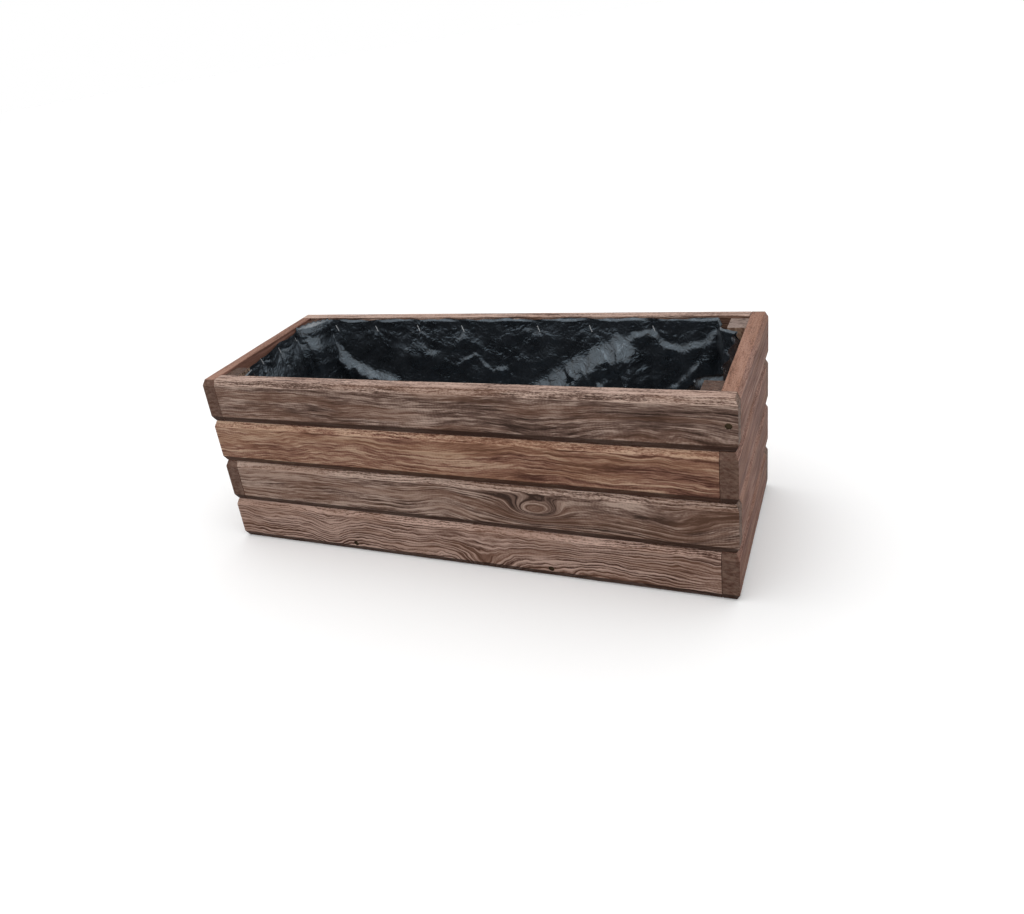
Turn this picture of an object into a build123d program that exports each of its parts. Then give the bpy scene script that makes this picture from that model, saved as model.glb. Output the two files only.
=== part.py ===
"""Slatted planter box: four courses of chamfered slats, lapped at the corners like brickwork,
on corner posts, with a boarded floor and a stapled foil liner.

Millimetres. X runs along the length, +Y to the back and +Z up. The origin is on the ground,
in the middle of the footprint.
"""

import os

from build123d import *

# Overall size of the box
LENGTH = 780
WIDTH = 300
COURSES = 4

# Slats
SLAT_HEIGHT = 70
SLAT_THICKNESS = 22
CHAMFER_DEPTH = 4
CHAMFER_RISE = 9

# Corner posts
POST_THICKNESS = 25
POST_WIDTH = 38
POST_DROP = 4

# Floor: cross battens between the long walls, and boards along them
BATTEN_WIDTH = 38
BATTEN_HEIGHT = 25
BATTEN_STATIONS = (-0.222, 0.182)  # places along the length, as shares of it from the middle
FLOOR_BOARDS = 3
BOARD_THICKNESS = 12
BOARD_GAP = 5
BOARD_EDGE_GAP = 3

# Foil liner
FOIL_THICKNESS = 0.5
FOIL_GAP = 0.3
FOIL_DROP = 6
FOIL_EASE = 14  # the foil leaves the wall this far before a post and comes back past its arris

# Screws
SCREW_DIAMETER = 5
SCREW_HEAD = 8.5
SCREW_LIP = 0.4  # straight rim of the head, above its cone
SCREW_SINK = 2
SCREW_GAP = 0.15
SIDE_GRAIN_BITE = 2 / 3  # share of a timber that a screw reaches into across the grain
END_GRAIN_BITE = 28
STAGGER = 14  # crossing screws stand this far above and below the middle of a course
ROUND = 0
HIDDEN_SIDES = 6  # screws and pilot holes buried in the box are six-sided, to keep it light

# Staples, driven by hand through the foil, so unevenly spaced and all a little aslant. Their
# stations are shares of a wall's flat foil from its middle, to the right as seen from outside
STAPLE_CROWN = 11
STAPLE_LEG = 8
STAPLE_WIRE = 1
STAPLE_SLANT = 18
STAPLE_GAP = 0.1
STAPLE_DROP = 19
LONG_WALL_STAPLES = (-0.357, -0.212, -0.085, 0.113, 0.236, 0.359, 0.48)
END_WALL_STAPLES = (-0.465, -0.14, 0.19)

HEIGHT = COURSES * SLAT_HEIGHT
INNER_LENGTH = LENGTH - 2 * SLAT_THICKNESS
INNER_WIDTH = WIDTH - 2 * SLAT_THICKNESS
FLOOR_TOP = BATTEN_HEIGHT + BOARD_THICKNESS
SIDES = ("front", "right", "back", "left")
ENDS = {"left": -1, "right": 1}
FACES = {"front": -1, "back": 1}


def side_plane(side):
    """Seen from above, each side is the front one turned: x runs along it, -y points outward."""
    return Plane.XY.rotated((0, 0, 90 * SIDES.index(side)))


def side_size(side):
    """Length of a side, and how far its outer face stands from the middle of the box."""
    return (LENGTH, WIDTH / 2) if side in FACES else (WIDTH, LENGTH / 2)


def lap_turn(course):
    """Courses lap by turns: 1 where a slat covers the next side's slat, -1 the one before."""
    return 1 if (COURSES - course) % 2 else -1


def middle_of(course):
    return (course + 0.5) * SLAT_HEIGHT


# Screws: each stands on a plane whose origin is on the timber's face and whose z points out of it


def screw_shape(depth, sides, gap=0):
    """A countersunk screw whose tip is `depth` under the face, or with a gap the hole for it."""
    core, head = SCREW_DIAMETER / 2 + gap, SCREW_HEAD / 2 + gap
    top = 0 if gap else SCREW_SINK
    seat = SCREW_SINK + SCREW_LIP + head - core
    with BuildPart() as shape:
        with BuildSketch(Plane.XY.offset(-top)):
            screw_section(head, sides)
        extrude(amount=top - seat)
        chamfer(shape.edges().group_by(Axis.Z)[0], head - core)
        with BuildSketch(Plane.XY.offset(-seat)):
            screw_section(core, sides)
        extrude(amount=seat - depth - gap)
    return shape.part


def screw_section(radius, sides):
    if sides:
        RegularPolygon(radius, sides, major_radius=False)
    else:
        Circle(radius)


def corner_drives(side):
    """Where the top course's lap screws go in: through a slat's end into the slat it covers."""
    run, reach = side_size(side)
    plane = side_plane(side)
    turn = lap_turn(COURSES - 1)
    start = (turn * (run - SLAT_THICKNESS) / 2, -reach, middle_of(COURSES - 1))
    return [Plane(origin=plane.from_local_coords(start), z_dir=-plane.y_dir)]


def post_drives(end, face, course):
    """Through one corner's post into its end wall, and into its long wall, in one course."""
    x, y = ENDS[end], FACES[face]
    to_end_wall = Plane(
        origin=(
            x * (INNER_LENGTH / 2 - POST_THICKNESS),
            y * (INNER_WIDTH - POST_WIDTH) / 2,
            middle_of(course) + STAGGER,
        ),
        z_dir=(-x, 0, 0),
    )
    to_long_wall = Plane(
        origin=(
            x * (INNER_LENGTH - POST_THICKNESS) / 2,
            y * (INNER_WIDTH / 2 - POST_WIDTH),
            middle_of(course) - STAGGER,
        ),
        z_dir=(0, -y, 0),
    )
    return to_end_wall, to_long_wall


def batten_drives(face):
    """Where the bottom slats are screwed to the ends of the floor battens."""
    y = FACES[face]
    return [
        Plane(origin=(share * LENGTH, y * WIDTH / 2, BATTEN_HEIGHT / 2), z_dir=(0, y, 0))
        for share in BATTEN_STATIONS
    ]


def board_drives(middle, width):
    """Two screws, set slantwise, where a floor board crosses each batten."""
    return [
        Plane(
            origin=(
                share * LENGTH + step * BATTEN_WIDTH / 4,
                middle + step * width / 4,
                FLOOR_TOP,
            )
        )
        for share in BATTEN_STATIONS
        for step in (-1, 1)
    ]


LAP_DEPTH = SLAT_THICKNESS + END_GRAIN_BITE
END_WALL_DEPTH = POST_THICKNESS + SIDE_GRAIN_BITE * SLAT_THICKNESS
LONG_WALL_DEPTH = POST_WIDTH + SIDE_GRAIN_BITE * SLAT_THICKNESS
BOARD_DEPTH = BOARD_THICKNESS + SIDE_GRAIN_BITE * BATTEN_HEIGHT


def bore(planes, depth, sides=HIDDEN_SIDES):
    """Cuts the holes of these screws out of the piece being built, as far as they pass it."""
    with Locations(*planes):
        add(screw_shape(depth, sides, SCREW_GAP), mode=Mode.SUBTRACT)


def screw_set(label, drives, sides=HIDDEN_SIDES):
    """One node for alike screws; drives pairs each depth with its planes."""
    with BuildPart() as screws:
        for depth, planes in drives:
            with Locations(*planes):
                add(screw_shape(depth, sides))
    return finished(screws, label)


# Staples: x of a staple's plane runs along its crown, z points out of the wall


def flat_foil(side):
    """Length of a wall's foil between the places where it leaves the wall for the posts."""
    run, _ = side_size(side)
    post = POST_THICKNESS if side in FACES else POST_WIDTH
    return run - 2 * (SLAT_THICKNESS + FOIL_GAP + post + FOIL_EASE)


def staple_planes(side):
    """Where the staples of a wall sit, with their crowns on the foil's inner face."""
    _, reach = side_size(side)
    wall = side_plane(side)
    stations = LONG_WALL_STAPLES if side in FACES else END_WALL_STAPLES
    inner_face = SLAT_THICKNESS + FOIL_GAP + FOIL_THICKNESS - reach
    crown = Vector(0, 0, 1).rotate(Axis((0, 0, 0), wall.y_dir), STAPLE_SLANT)
    return [
        Plane(
            origin=wall.from_local_coords(
                (share * flat_foil(side), inner_face, HEIGHT - STAPLE_DROP)
            ),
            x_dir=crown,
            z_dir=wall.y_dir,
        )
        for share in stations
    ]


def staple_legs(gap=0):
    with BuildPart() as legs:
        with BuildSketch():
            with GridLocations(STAPLE_CROWN - STAPLE_WIRE, 0, 2, 1):
                Rectangle(STAPLE_WIRE + 2 * gap, STAPLE_WIRE + 2 * gap)
        extrude(amount=-STAPLE_LEG - gap)
    return legs.part


def staple_shape():
    with BuildPart() as staple:
        with BuildSketch():
            Rectangle(STAPLE_CROWN, STAPLE_WIRE)
        extrude(amount=STAPLE_WIRE)
        add(staple_legs())
    return staple.part


def pierce(side):
    """Cuts the slots of a wall's staples out of the piece being built."""
    with Locations(*staple_planes(side)):
        add(staple_legs(STAPLE_GAP), mode=Mode.SUBTRACT)


# Timber


def slat(side, course):
    """One slat, with its outer long edges and its exposed end chamfered above and below."""
    run, reach = side_size(side)
    plane = side_plane(side)
    turn = lap_turn(course)
    outward = Axis((0, 0, 0), -plane.y_dir)
    toward_end = Axis((0, 0, 0), plane.x_dir * turn)
    with BuildPart() as board:
        with BuildSketch(plane.offset(course * SLAT_HEIGHT)):
            with Locations((turn * SLAT_THICKNESS / 2, SLAT_THICKNESS / 2 - reach)):
                Rectangle(run - SLAT_THICKNESS, SLAT_THICKNESS)
        extrude(amount=SLAT_HEIGHT)
        for rank in (0, -1):
            flat = board.faces().sort_by(Axis.Z)[rank]
            edges = [flat.edges().sort_by(axis)[-1] for axis in (outward, toward_end)]
            chamfer(edges, CHAMFER_DEPTH, CHAMFER_RISE, reference=flat)
        fasten_slat(side, course)
    return finished(board, f"{side}_slat_{course + 1}")


def fasten_slat(side, course):
    """Holes for every screw and staple that reaches into this slat."""
    for end in ENDS:
        for face in FACES:
            to_end_wall, to_long_wall = post_drives(end, face, course)
            if side == end:
                bore([to_end_wall], END_WALL_DEPTH)
            if side == face:
                bore([to_long_wall], LONG_WALL_DEPTH)
    if course == COURSES - 1:
        before = SIDES[SIDES.index(side) - lap_turn(course)]
        bore(corner_drives(side), LAP_DEPTH, ROUND)
        bore(corner_drives(before), LAP_DEPTH)
        pierce(side)
    if course == 0 and side in FACES:
        bore(batten_drives(side), LAP_DEPTH, ROUND)


def corner_post(end, face):
    """Square-cut post in one corner, as tall as the walls less its drop under the rim."""
    with BuildPart() as post:
        with BuildSketch():
            post_outline(end, face)
        extrude(amount=HEIGHT - POST_DROP)
        for course in range(COURSES):
            to_end_wall, to_long_wall = post_drives(end, face, course)
            bore([to_end_wall], END_WALL_DEPTH)
            bore([to_long_wall], LONG_WALL_DEPTH)
    return finished(post, f"corner_post_{face}_{end}")


def post_outline(end, face, gap=0, mode=Mode.ADD):
    """A post's footprint, or with a gap the notch that clears it."""
    with Locations(
        (
            ENDS[end] * (INNER_LENGTH - POST_THICKNESS) / 2,
            FACES[face] * (INNER_WIDTH - POST_WIDTH) / 2,
        )
    ):
        Rectangle(POST_THICKNESS + 2 * gap, POST_WIDTH + 2 * gap, mode=mode)


def floor_batten(end, share):
    """Cross batten on the ground, whose ends butt against the two bottom long slats."""
    with BuildPart() as batten:
        with BuildSketch():
            with Locations((share * LENGTH, 0)):
                Rectangle(BATTEN_WIDTH, INNER_WIDTH)
        extrude(amount=BATTEN_HEIGHT)
        for face in FACES:
            bore(batten_drives(face), LAP_DEPTH)
        for middle in board_middles():
            bore(board_drives(middle, board_width()), BOARD_DEPTH)
    return finished(batten, f"floor_batten_{end}")


def board_width():
    free = INNER_WIDTH - 2 * BOARD_EDGE_GAP - (FLOOR_BOARDS - 1) * BOARD_GAP
    return free / FLOOR_BOARDS


def board_middles():
    first = (board_width() - INNER_WIDTH) / 2 + BOARD_EDGE_GAP
    return [first + n * (board_width() + BOARD_GAP) for n in range(FLOOR_BOARDS)]


def floor_board(number, middle):
    """Board along the floor, notched where it would run into a corner post."""
    with BuildPart() as board:
        with BuildSketch(Plane.XY.offset(BATTEN_HEIGHT)):
            with Locations((0, middle)):
                Rectangle(INNER_LENGTH - 2 * BOARD_EDGE_GAP, board_width())
            for end in ENDS:
                for face in FACES:
                    post_outline(end, face, BOARD_EDGE_GAP, Mode.SUBTRACT)
        extrude(amount=BOARD_THICKNESS)
        bore(board_drives(middle, board_width()), BOARD_DEPTH)
    return finished(board, f"floor_board_{number}")


# Foil


def liner_outline():
    """The inside of the box, with the foil drawn round the arris of each corner post."""
    half_x, half_y = INNER_LENGTH / 2 - FOIL_GAP, INNER_WIDTH / 2 - FOIL_GAP
    corner = [
        (half_x, half_y - POST_WIDTH - FOIL_EASE),
        (half_x - POST_THICKNESS, half_y - POST_WIDTH),
        (half_x - POST_THICKNESS - FOIL_EASE, half_y),
    ]
    back_left = [(-x, y) for x, y in reversed(corner)]
    front = [(-x, -y) for x, y in corner + back_left]
    return corner + back_left + front


def liner():
    """Open foil tray on the floor boards, up to just under the rim."""
    bottom = FLOOR_TOP + FOIL_GAP
    with BuildPart() as tray:
        with BuildSketch(Plane.XY.offset(bottom)):
            with BuildLine():
                Polyline(*liner_outline(), close=True)
            make_face()
        extrude(amount=HEIGHT - FOIL_DROP - bottom)
        offset(amount=-FOIL_THICKNESS, openings=tray.faces().sort_by(Axis.Z)[-1])
        for side in SIDES:
            pierce(side)
    return finished(tray, "foil_liner")


def finished(builder, label):
    """Labels a piece and writes it to its own file."""
    builder.part.label = label
    export_step(builder.part, f"parts/{label}.step")
    return builder.part


def staple_set():
    with BuildPart() as staples:
        for side in SIDES:
            with Locations(*staple_planes(side)):
                add(staple_shape())
    return finished(staples, "liner_staples")


def all_post_drives():
    """Depth and planes of every post screw."""
    pairs = [
        post_drives(end, face, course)
        for end in ENDS
        for face in FACES
        for course in range(COURSES)
    ]
    return [
        (END_WALL_DEPTH, [pair[0] for pair in pairs]),
        (LONG_WALL_DEPTH, [pair[1] for pair in pairs]),
    ]


def build():
    os.makedirs("parts", exist_ok=True)
    for course in range(COURSES):
        for side in SIDES:
            slat(side, course)
    for end in ENDS:
        for face in FACES:
            corner_post(end, face)
    for end, share in zip(ENDS, BATTEN_STATIONS):
        floor_batten(end, share)
    for number, middle in enumerate(board_middles(), start=1):
        floor_board(number, middle)
    liner()
    staple_set()
    laps = [d for side in SIDES for d in corner_drives(side)]
    screw_set("lap_screws", [(LAP_DEPTH, laps)], ROUND)
    battens = [d for face in FACES for d in batten_drives(face)]
    screw_set("batten_screws", [(LAP_DEPTH, battens)], ROUND)
    screw_set("post_screws", all_post_drives())
    boards = [d for middle in board_middles() for d in board_drives(middle, board_width())]
    screw_set("board_screws", [(BOARD_DEPTH, boards)])


build()
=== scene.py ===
"""Stained, slatted planter box with a stapled foil liner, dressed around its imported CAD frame.

Metres, in the CAD frame: X along the length, +Y to the back, +Z up, origin on the ground.
"""

import math

import bmesh
import bpy
import numpy as np
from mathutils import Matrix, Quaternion, Vector

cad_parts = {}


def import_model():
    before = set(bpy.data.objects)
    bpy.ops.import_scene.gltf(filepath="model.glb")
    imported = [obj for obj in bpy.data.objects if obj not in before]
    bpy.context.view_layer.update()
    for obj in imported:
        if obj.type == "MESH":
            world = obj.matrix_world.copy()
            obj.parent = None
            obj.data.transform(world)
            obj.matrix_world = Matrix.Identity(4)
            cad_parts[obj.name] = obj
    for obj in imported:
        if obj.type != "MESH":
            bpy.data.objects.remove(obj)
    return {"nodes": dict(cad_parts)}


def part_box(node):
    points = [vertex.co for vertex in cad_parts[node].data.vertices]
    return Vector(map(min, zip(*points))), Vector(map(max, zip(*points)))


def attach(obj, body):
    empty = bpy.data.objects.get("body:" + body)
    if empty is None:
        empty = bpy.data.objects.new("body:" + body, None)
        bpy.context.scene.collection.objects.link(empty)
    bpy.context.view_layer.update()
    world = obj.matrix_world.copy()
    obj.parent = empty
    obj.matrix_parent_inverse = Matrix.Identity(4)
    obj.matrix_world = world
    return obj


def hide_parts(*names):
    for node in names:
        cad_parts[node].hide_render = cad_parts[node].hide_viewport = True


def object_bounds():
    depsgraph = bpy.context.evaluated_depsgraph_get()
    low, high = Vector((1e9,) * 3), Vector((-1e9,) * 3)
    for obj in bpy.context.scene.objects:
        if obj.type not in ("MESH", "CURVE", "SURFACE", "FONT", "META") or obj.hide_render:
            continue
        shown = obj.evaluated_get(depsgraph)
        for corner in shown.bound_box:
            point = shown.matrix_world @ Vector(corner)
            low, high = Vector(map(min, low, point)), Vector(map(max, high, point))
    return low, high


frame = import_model()
CAD_LOW, CAD_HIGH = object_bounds()

MM = 0.001
SIDES = {"front": "X", "right": "Y", "back": "X", "left": "Y"}
COURSES = 4

# Lowest and highest corners of the room between the four walls
ROOM_LOW = Vector((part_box("left_slat_4")[1].x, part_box("front_slat_4")[1].y, 0))
ROOM_HIGH = Vector((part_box("right_slat_4")[0].x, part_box("back_slat_4")[0].y, CAD_HIGH.z))

# Camera, fitted to the photograph's corners
CAMERA_PLACE = (0.51835, -1.068, 0.70569)
CAMERA_AIM = (-0.08445, 0.01533, 0.14)
CAMERA_ROLL = math.radians(-9.755)
LENS = 30.22
SENSOR = 36
SHIFT = (0.0703, -0.03125)


# Node trees


class Tree:
    """A node tree with short calls for the nodes that the materials here share."""

    def __init__(self, owner):
        owner.use_nodes = True
        self.nodes, self.links = owner.node_tree.nodes, owner.node_tree.links

    def set(self, socket, value):
        if isinstance(value, bpy.types.NodeSocket):
            self.links.new(value, socket)
        else:
            socket.default_value = value

    def add(self, kind, inputs=None, **settings):
        node = self.nodes.new(f"ShaderNode{kind}")
        for name, value in settings.items():
            setattr(node, name, value)
        for name, value in (inputs or {}).items():
            self.set(node.inputs[name], value)
        return node

    def math(self, operation, *values):
        node = self.add("Math", operation=operation)
        for socket, value in zip(node.inputs, values):
            self.set(socket, value)
        return node.outputs[0]

    def times(self, a, b):
        return self.math("MULTIPLY", a, b)

    def sum(self, *values):
        total = values[0]
        for value in values[1:]:
            total = self.math("ADD", total, value)
        return total

    def swing(self, value, amount):
        """A noise turned to a rise and fall about 0."""
        return self.times(self.math("SUBTRACT", value, 0.5), amount)

    def span(self, value, start, end, to_start=0.0, to_end=1.0):
        """A value between start and end, stretched to lie between two others and no further."""
        inputs = {"Value": value, "From Min": start, "From Max": end}
        inputs |= {"To Min": to_start, "To Max": to_end}
        return self.add("MapRange", inputs).outputs["Result"]

    def vector(self, x, y, z):
        return self.add("CombineXYZ", {"X": x, "Y": y, "Z": z}).outputs[0]

    def noise(self, vector, scale, detail=2.0, roughness=0.5):
        """Smooth noise between about 0.25 and 0.75 at a place, with its own scale on each axis."""
        stretched = self.add("VectorMath", operation="MULTIPLY")
        self.set(stretched.inputs[0], vector)
        self.set(stretched.inputs[1], scale)
        inputs = {"Vector": stretched.outputs[0], "Scale": 1.0}
        inputs |= {"Detail": detail, "Roughness": roughness}
        return self.add("TexNoise", inputs).outputs["Fac"]

    def ramp(self, factor, *stops):
        """Colour from (position, colour or grey) stops."""
        node = self.add("ValToRGB", {"Fac": factor})
        elements = node.color_ramp.elements
        while len(elements) < len(stops):
            elements.new(1.0)
        for element, (position, colour) in zip(elements, stops):
            element.position = position
            grey = isinstance(colour, (int, float))
            element.color = (colour,) * 3 + (1,) if grey else (*colour, 1)
        return node.outputs["Color"]

    def step(self, factor, start, end):
        """Rises from 0 at start to 1 at end."""
        return self.ramp(factor, (start, 0), (end, 1))

    def mix(self, factor, a, b):
        """Colour a, covered by colour b as far as the factor says."""
        node = self.add("Mix", data_type="RGBA")
        for index, value in ((0, factor), (6, a), (7, b)):
            if isinstance(value, tuple):
                value = (*value, 1)
            self.set(node.inputs[index], value)
        return node.outputs[2]

    def bump(self, height, strength, distance):
        inputs = {"Height": height, "Strength": strength, "Distance": distance}
        return self.add("Bump", inputs).outputs["Normal"]


def srgb(red, green, blue):
    """A colour as read off a picture, 0 to 255, in the renderer's own linear values."""
    shares = (value / 255 for value in (red, green, blue))
    return tuple(s / 12.92 if s < 0.04045 else ((s + 0.055) / 1.055) ** 2.4 for s in shares)


def new_material(name):
    material = bpy.data.materials.new(name)
    tree = Tree(material)
    return material, tree, tree.nodes["Principled BSDF"]


# Wood

# Axes that run along the grain, through the board and across it
GRAIN_ORDER = {"X": "XYZ", "Y": "YXZ", "Z": "ZXY", "X flat": "XZY"}

# Noises: scales per millimetre along the grain, through the board and across it, then the detail
# and its roughness
BEND = ((0.0055, 0.02, 0.012), 1.0)
RIPPLE = ((0.024, 0.03, 0.03), 2.0, 0.55)
RING_DRIFT = ((0.06, 0, 1), 1.0)
RING_FADE = ((0.012, 0.05, 0.035), 2.0)
STREAK = ((0.011, 0.17, 0.2), 4.0, 0.68)
FIBRE = ((0.04, 0.55, 0.62), 4.0, 0.7)
# Painted glints: thin light dashes along the grain
PAINTED_GLINT = ((0.026, 0.4, 0.4), 3.0, 0.6)
PATCH = ((0.007, 0.02, 0.026), 3.0, 0.6)
SPECK = ((0.22, 0.8, 0.8), 3.0, 0.7)
# Breaks in the painted highlight along the arris
HIGHLIGHT_BREAK = ((0.03, 0.2, 0.2), 3.0, 0.6)
WARMTH = ((0.007, 0.03, 0.06), 2.0)
PORES = ((0.2, 0.12, 0.25), 4.0, 0.7)

# How far a surface turns to an axis where each part of a board starts and is full
CHAMFER_FACING = (0.25, 0.38)
ARRIS_START = (0.04, 0.14)
ARRIS_STOP = (0.3, 0.38)
RIM_FACING = (0.5, 0.8)
END_FACING = (0.6, 0.8)
UNDER_FACING = (-0.12, -0.36)

# Positions of the colour ramps' stops, and noise levels between which a mark appears
TONE_STOPS = (0.05, 0.5, 0.95)
RIM_STOPS = (0.15, 0.6)
END_STOPS = (0.34, 0.6)
RING_STOPS = ((0.0, 0.4), (0.3, 0.5), (0.5, 0.95), (0.64, 0.55), (0.82, 0.0), (1.0, 0.4))
FADE_STOPS = ((0.36, 0.25), (0.6, 1.0))
PAINTED_GLINT_STEP = (0.56, 0.68)
HIGHLIGHT_BREAK_STEP = (0.42, 0.55)
WARM_STEP = (0.45, 0.6)
NOISE_SPAN = (0.3, 0.7)

SEED_SHIFT = 977.0  # millimetres along the grain from one board's pattern to the next one's
RING_TILT = 0.45  # climb of the rings through the board
DRIFT_TURNS = 3.0  # rings that the drift adds and takes away
RING_MIDDLE = 0.48
RIB_TURNS = (1.35, 0.3)  # radians per millimetre along and across, for the saw's ribs
RIB_BREAK = (60.0, 9.0)  # radians that patches and fibres bend them by
RIB_GAPS = 0.34  # patch level below which they are gone
BOARD_REACH = 380.0  # millimetres from the middle to where a tone's end values hold
# Painted light: tone added on the chamfers that face upwards, as if lit from above
CHAMFER_PAINTED_LIGHT = 0.12
# Painted highlight: tone added along the arris under an upward chamfer
ARRIS_PAINTED_HIGHLIGHT = 0.45
# Painted light: share of the rim colour on faces that turn upwards
RIM_PAINTED_LIGHT_COVER = 0.55
# Share of the end-grain colour on sawn ends, and of the painted shade on faces that turn downwards
END_AND_SHADE_COVER = 0.85
# Painted shade: deep brown for faces that turn downwards, as in the grooves between slats
UNDER_PAINTED_SHADE = srgb(52, 29, 19)
RELIEF = {"rings": 0.6, "streak": 1.2, "fibre": 0.8, "saw marks": 0.8}
RELIEF_STRENGTH = 0.8
RELIEF_HEIGHT = 1.0 * MM
WOOD_ROUGH = (0.8, 0.55)
WOOD_SHINE = 0.2


def grain_axes(tree, along):
    """Millimetres along the grain, through the board and across it."""
    place = tree.add("TexCoord").outputs["Object"]
    split = tree.add("SeparateXYZ", {"Vector": place})
    return [tree.math("DIVIDE", split.outputs[axis], MM) for axis in GRAIN_ORDER[along]]


def knot_lift(tree, u, w, knot):
    """How far the grain is pushed aside round one knot."""
    at_u, at_w, reach_u, reach_w, lift = knot
    du = tree.math("DIVIDE", tree.math("SUBTRACT", u, at_u), reach_u)
    dw = tree.math("DIVIDE", tree.math("SUBTRACT", w, at_w), reach_w)
    square = tree.sum(tree.times(du, du), tree.times(dw, dw))
    return tree.times(tree.math("EXPONENT", tree.times(square, -1)), lift)


def facing(tree, axis, start, full):
    """0 to 1 as the surface turns to face along that axis."""
    normal = tree.add("NewGeometry").outputs["Normal"]
    part = tree.add("SeparateXYZ", {"Vector": normal}).outputs[axis]
    if axis != "Z":
        part = tree.math("ABSOLUTE", part)
    return tree.span(part, start, full)


def grain_level(tree, look, place, u, v, w):
    """The field whose level lines are the growth rings on the board's face."""
    return tree.sum(
        w,
        tree.times(v, RING_TILT),
        tree.times(tree.noise(place, *BEND), look["bend"]),
        tree.times(tree.noise(place, *RIPPLE), look["ripple"]),
        *[knot_lift(tree, u, w, knot) for knot in look.get("knots", ())],
    )


def ring_lines(tree, look, place, level):
    """Growth rings: a thin light line beside a thin dark one, stronger in some places."""
    drift = tree.noise(tree.vector(level, 0.0, look["seed"]), *RING_DRIFT)
    turns = tree.sum(tree.math("DIVIDE", level, look["ring"]), tree.times(drift, DRIFT_TURNS))
    line = tree.ramp(tree.math("FRACT", turns), *RING_STOPS)
    fade = tree.ramp(tree.noise(place, *RING_FADE), *FADE_STOPS)
    return tree.times(tree.math("SUBTRACT", line, RING_MIDDLE), fade)


class Grain:
    """The fields over one board that its colour and its relief share."""

    def __init__(self, tree, look, along):
        self.u, v, self.w = grain_axes(tree, along)
        shifted = tree.math("ADD", self.u, look["seed"] * SEED_SHIFT)
        self.place = tree.vector(shifted, v, self.w)
        level = grain_level(tree, look, self.place, self.u, v, self.w)
        self.flow = tree.vector(shifted, v, level)
        self.rings = ring_lines(tree, look, self.place, level)
        self.streak = tree.noise(self.flow, *STREAK)
        self.fibre = tree.noise(self.flow, *FIBRE)
        self.patch = tree.noise(self.place, *PATCH)
        self.speck = tree.noise(self.place, *SPECK)
        self.chamfer = facing(tree, "Z", *CHAMFER_FACING)


def saw_ribs(tree, grain):
    """Slanted marks of the saw across the board, gone in some places."""
    slant = tree.sum(tree.times(grain.u, RIB_TURNS[0]), tree.times(grain.w, RIB_TURNS[1]))
    by_patch, by_fibre = RIB_BREAK
    bent = tree.sum(slant, tree.swing(grain.patch, by_patch), tree.swing(grain.fibre, by_fibre))
    return tree.times(tree.math("SINE", bent), tree.math("SUBTRACT", grain.patch, RIB_GAPS))


def arris_painted_highlight(tree, grain):
    """Painted highlight along the edge between face and chamfer, broken up by noise."""
    arris = tree.math(
        "SUBTRACT", facing(tree, "Z", *ARRIS_START), facing(tree, "Z", *ARRIS_STOP)
    )
    return tree.times(arris, tree.step(tree.noise(grain.place, *HIGHLIGHT_BREAK), *HIGHLIGHT_BREAK_STEP))


def wood_tone(tree, look, grain):
    """The board from dark, 0, to light, 1."""
    # Painted glints: thin light dashes that follow the grain
    painted_glints = tree.step(tree.noise(grain.flow, *PAINTED_GLINT), *PAINTED_GLINT_STEP)
    # Saw specks on the chamfer, plus painted light from above
    sawn = tree.sum(tree.swing(grain.speck, look["sawn"]), CHAMFER_PAINTED_LIGHT)
    return tree.sum(
        0.5,
        tree.times(grain.rings, look["contrast"]),
        tree.swing(grain.streak, look["streak"]),
        tree.swing(grain.fibre, look["fibre"]),
        tree.times(painted_glints, look["painted_glint"]),
        tree.swing(grain.patch, look["patch"]),
        tree.times(saw_ribs(tree, grain), look["ribs"]),
        tree.times(grain.chamfer, sawn),
        tree.times(arris_painted_highlight(tree, grain), ARRIS_PAINTED_HIGHLIGHT),
        tree.span(grain.u, -BOARD_REACH, BOARD_REACH, look["left"], look["right"]),
    )


def wood_colour(tree, look, grain, end_axis):
    """The board's colour, with its sawn ends, painted light on its rim and painted shade on its
    underside.
    """
    tone = wood_tone(tree, look, grain)
    colour = tree.ramp(tone, *zip(TONE_STOPS, (look["dark"], look["mid"], look["light"])))
    warm = tree.step(tree.noise(grain.flow, *WARMTH), *WARM_STEP)
    colour = tree.mix(tree.times(warm, look["warmth"]), colour, look["warm"])
    # Painted light and painted sheen: faces that turn upwards mix to the look's own rim colour,
    # paler on the slats as if lit from above
    rim = tree.ramp(tone, *zip(RIM_STOPS, (look["dark"], look["rim"])))
    on_rim = facing(tree, "Z", *RIM_FACING)
    colour = tree.mix(tree.times(on_rim, RIM_PAINTED_LIGHT_COVER), colour, rim)
    pores = tree.noise(grain.place, *PORES)
    end = tree.ramp(pores, *zip(END_STOPS, (look["dark"], look["end"])))
    on_end = facing(tree, end_axis, *END_FACING)
    colour = tree.mix(tree.times(on_end, END_AND_SHADE_COVER), colour, end)
    # Painted shade: faces that turn downwards darken to a deep brown
    on_under = facing(tree, "Z", *UNDER_FACING)
    return tree.mix(tree.times(on_under, END_AND_SHADE_COVER), colour, UNDER_PAINTED_SHADE)


def wood_relief(tree, grain):
    """The normal that the rings, streaks, fibres and the chamfer's saw marks give."""
    height = tree.sum(
        tree.times(grain.rings, RELIEF["rings"]),
        tree.times(grain.streak, RELIEF["streak"]),
        tree.times(grain.fibre, RELIEF["fibre"]),
        tree.times(tree.times(grain.chamfer, grain.speck), RELIEF["saw marks"]),
    )
    return tree.bump(height, RELIEF_STRENGTH, RELIEF_HEIGHT)


def wood(name, look, along):
    """Stained, weathered timber with its grain along X, Y or Z, or along X in a flat board."""
    material, tree, shader = new_material(name)
    grain = Grain(tree, look, along)
    tree.set(shader.inputs["Base Color"], wood_colour(tree, look, grain, along[0]))
    rough = tree.span(grain.streak, *NOISE_SPAN, *WOOD_ROUGH)
    tree.set(shader.inputs["Roughness"], rough)
    tree.set(shader.inputs["Normal"], wood_relief(tree, grain))
    shader.inputs["Specular IOR Level"].default_value = WOOD_SHINE
    return material


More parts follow.
